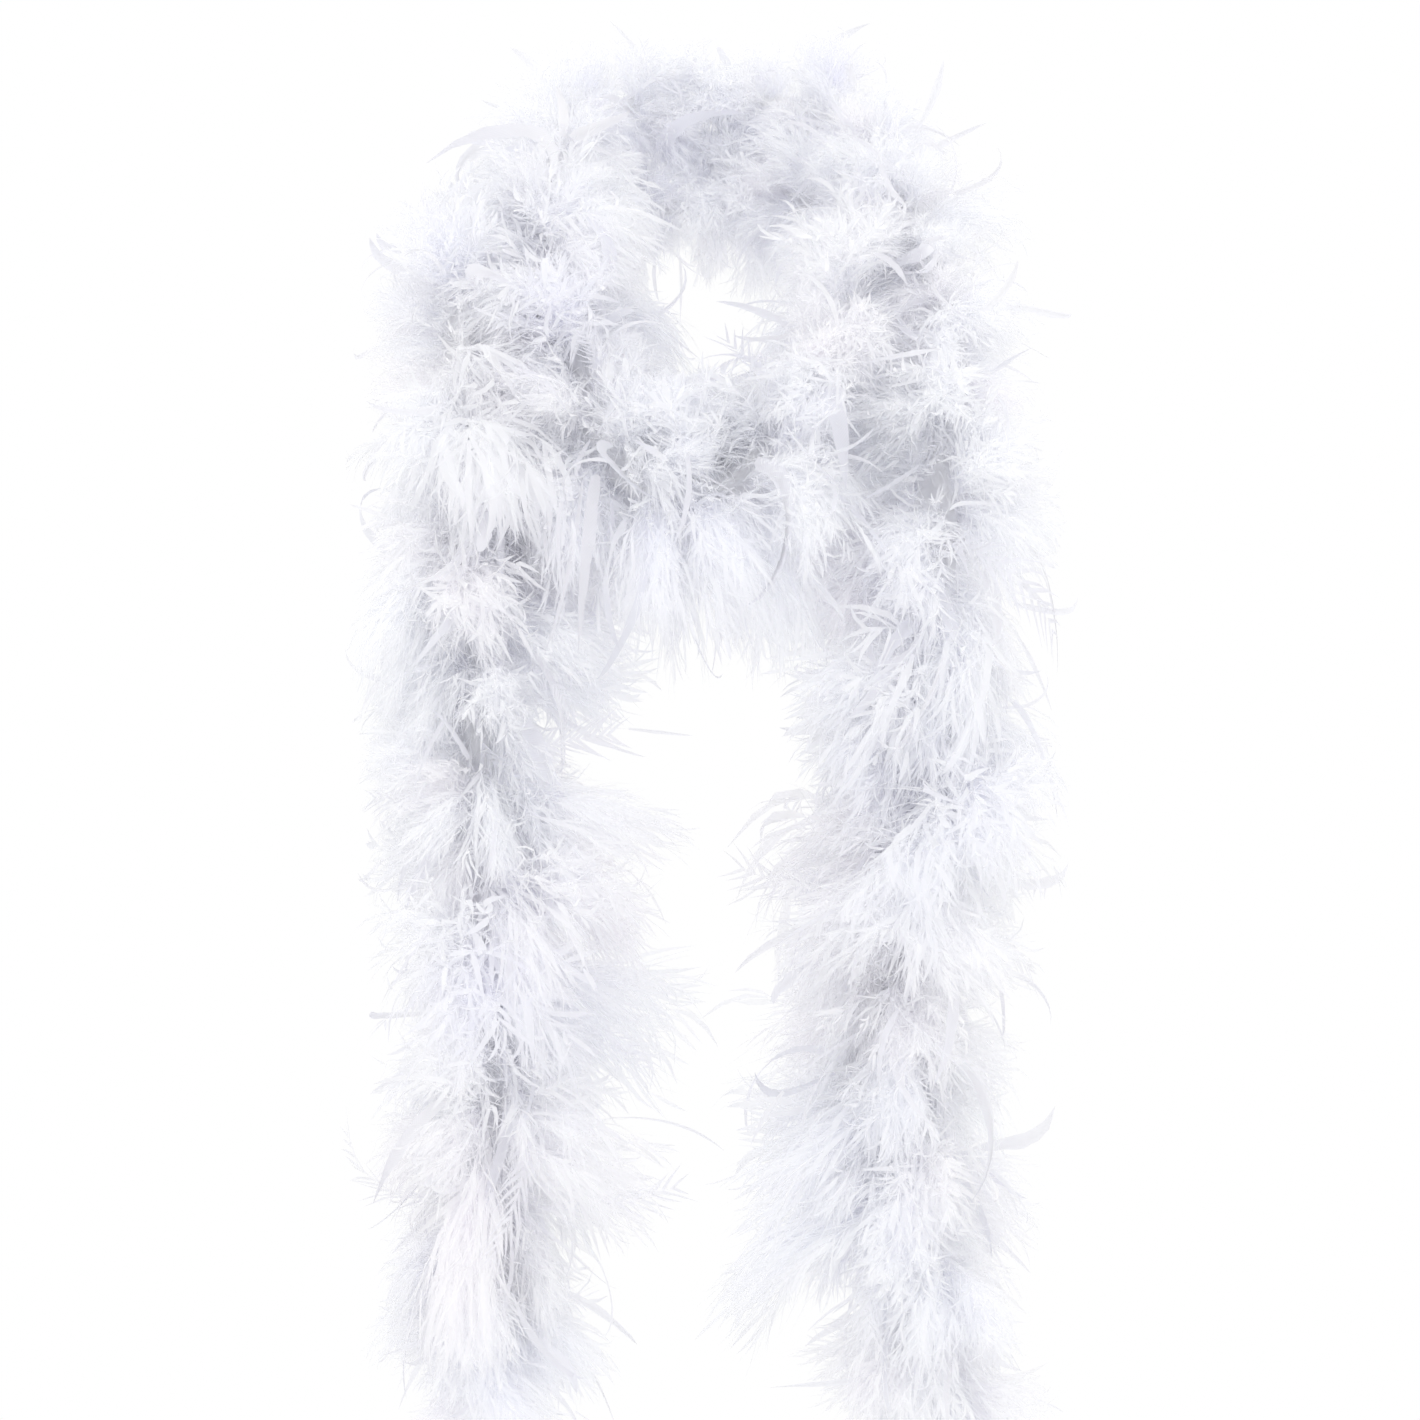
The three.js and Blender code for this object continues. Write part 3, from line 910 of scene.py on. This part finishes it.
def undercoat_piece(name, s0, s1, material, step=0.005, sides=22):
    """The short dense down next to the cord, as one soft lumpy body round it."""
    s = np.linspace(s0 - 0.004, s1 + 0.004, max(4, round((s1 - s0) / step)))
    turn = np.arange(sides) * 2 * math.pi / sides
    ss, tt = np.meshgrid(s, turn, indexing="ij")
    rise = np.sin(np.linspace(0, math.pi, len(s)))[:, None] ** 0.35
    radius = fullness(ss) * (0.19 * clump(ss, tt) + 0.05 * np.cos(5 * tt + ss * 160))
    radius = 0.004 + (radius - 0.004) * rise
    radial = (route.at(ss, "side") * np.cos(tt)[..., None] + route.at(ss, "up") * np.sin(tt)[..., None])
    points = (route.at(ss, "point") + radial * radius[..., None]).reshape(-1, 3)
    faces, rows = [], len(s)
    for i in range(rows - 1):
        for j in range(sides):
            k = (j + 1) % sides
            faces.append((i * sides + j, i * sides + k, (i + 1) * sides + k, (i + 1) * sides + j))
    ends = len(points)
    points = np.vstack([points, route.at(s[:1], "point"), route.at(s[-1:], "point")])
    for j in range(sides):
        k = (j + 1) % sides
        faces.append((ends, k, j, -1))
        faces.append((ends + 1, (rows - 1) * sides + j, (rows - 1) * sides + k, -1))
    maps = np.zeros((len(points), 2))
    maps[:, 0] = 0.75
    maps[:rows * sides, 0] = np.repeat(np.linspace(0.7, 0.8, rows), sides)
    maps[:rows * sides, 1] = np.tile(0.05 + 0.1 * np.abs(np.sin(turn)), rows)
    piece = piece_from(mesh_from(name, points, np.array(faces), maps), material)
    for polygon in piece.data.polygons:
        polygon.use_smooth = True
    return piece


# ---- the boa ---------------------------------------------------------------------------

for order, (name, body, ruffs) in enumerate(STRETCHES):
    cuts = np.linspace(edges[order], edges[order + 1], ruffs + 1)
    for k in range(ruffs):
        bend = None
        if k == 0 and order > 0:
            bend = order - 1
        elif k == ruffs - 1 and order < len(STRETCHES) - 1:
            bend = order
        s0, s1 = cuts[k], cuts[k + 1]
        seed = 1000 + 10 * order + k
        feathers = feather_piece(f"feathers_{name}_{k + 1}", s0, s1, seed, white_feather)
        under = undercoat_piece(f"undercoat_{name}_{k + 1}", s0, s1, white_feather)
        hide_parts(f"feather_ruff_{name}_{k + 1}")
        for piece in (feathers, under):
            move_with(piece, body, bend)

# ---- floor and light ---------------------------------------------------------------------

FLOOR_RADIUS = 4.0
FLOOR_HEIGHT = -1.45
BOA_MIDDLE = (0, 0, -0.25)
SKY_ON_BOA = 1.055         # the white surroundings' strength as light
SKY_SEEN = 1.0             # and as the background
LAMPS = [
    # name, place, size in metres and power in watts
    ("key", (-0.9, -1.9, 1.3), 1.2, 7),
    ("fill", (1.5, -1.6, 0.3), 1.6, 4),
]
LIGHT_BOUNCES = 32


def studio():
    bpy.ops.object.select_all(action="DESELECT")
    bpy.ops.mesh.primitive_circle_add(
        vertices=64, radius=FLOOR_RADIUS, fill_type="NGON", location=(0, 0, FLOOR_HEIGHT))
    floor = bpy.context.object
    floor.name = "floor"
    material, nodes, link = new_material("pale_floor")
    shader = nodes.new("ShaderNodeBsdfPrincipled")
    shader.inputs["Base Color"].default_value = (0.85, 0.85, 0.85, 1)
    shader.inputs["Roughness"].default_value = 0.9
    out = nodes.new("ShaderNodeOutputMaterial")
    link(shader.outputs[0], out.inputs["Surface"])
    floor.data.materials.append(material)

    world = bpy.data.worlds.new("white_studio")
    bpy.context.scene.world = world
    world.use_nodes = True
    nodes = world.node_tree.nodes
    link = world.node_tree.links.new
    nodes.clear()
    sky = nodes.new("ShaderNodeBackground")
    sky.inputs["Color"].default_value = (1, 1, 1, 1)
    path = nodes.new("ShaderNodeLightPath")
    level = nodes.new("ShaderNodeMapRange")
    level.inputs["To Min"].default_value = SKY_ON_BOA
    level.inputs["To Max"].default_value = SKY_SEEN
    link(path.outputs["Is Camera Ray"], level.inputs["Value"])
    link(level.outputs[0], sky.inputs["Strength"])
    out = nodes.new("ShaderNodeOutputWorld")
    link(sky.outputs[0], out.inputs["Surface"])

    for name, place, size, power in LAMPS:
        data = bpy.data.lights.new(name, "AREA")
        data.size = size
        data.energy = power
        lamp = bpy.data.objects.new(name, data)
        lamp.location = place
        to_boa = Vector(BOA_MIDDLE) - Vector(place)
        lamp.rotation_euler = to_boa.to_track_quat("-Z", "Y").to_euler()
        bpy.context.scene.collection.objects.link(lamp)


studio()
bpy.context.scene.view_settings.view_transform = "Standard"
# Light passes through many thin white barbs before it comes out again.
light_paths = bpy.context.scene.cycles
light_paths.max_bounces = LIGHT_BOUNCES
light_paths.diffuse_bounces = LIGHT_BOUNCES
light_paths.transmission_bounces = LIGHT_BOUNCES
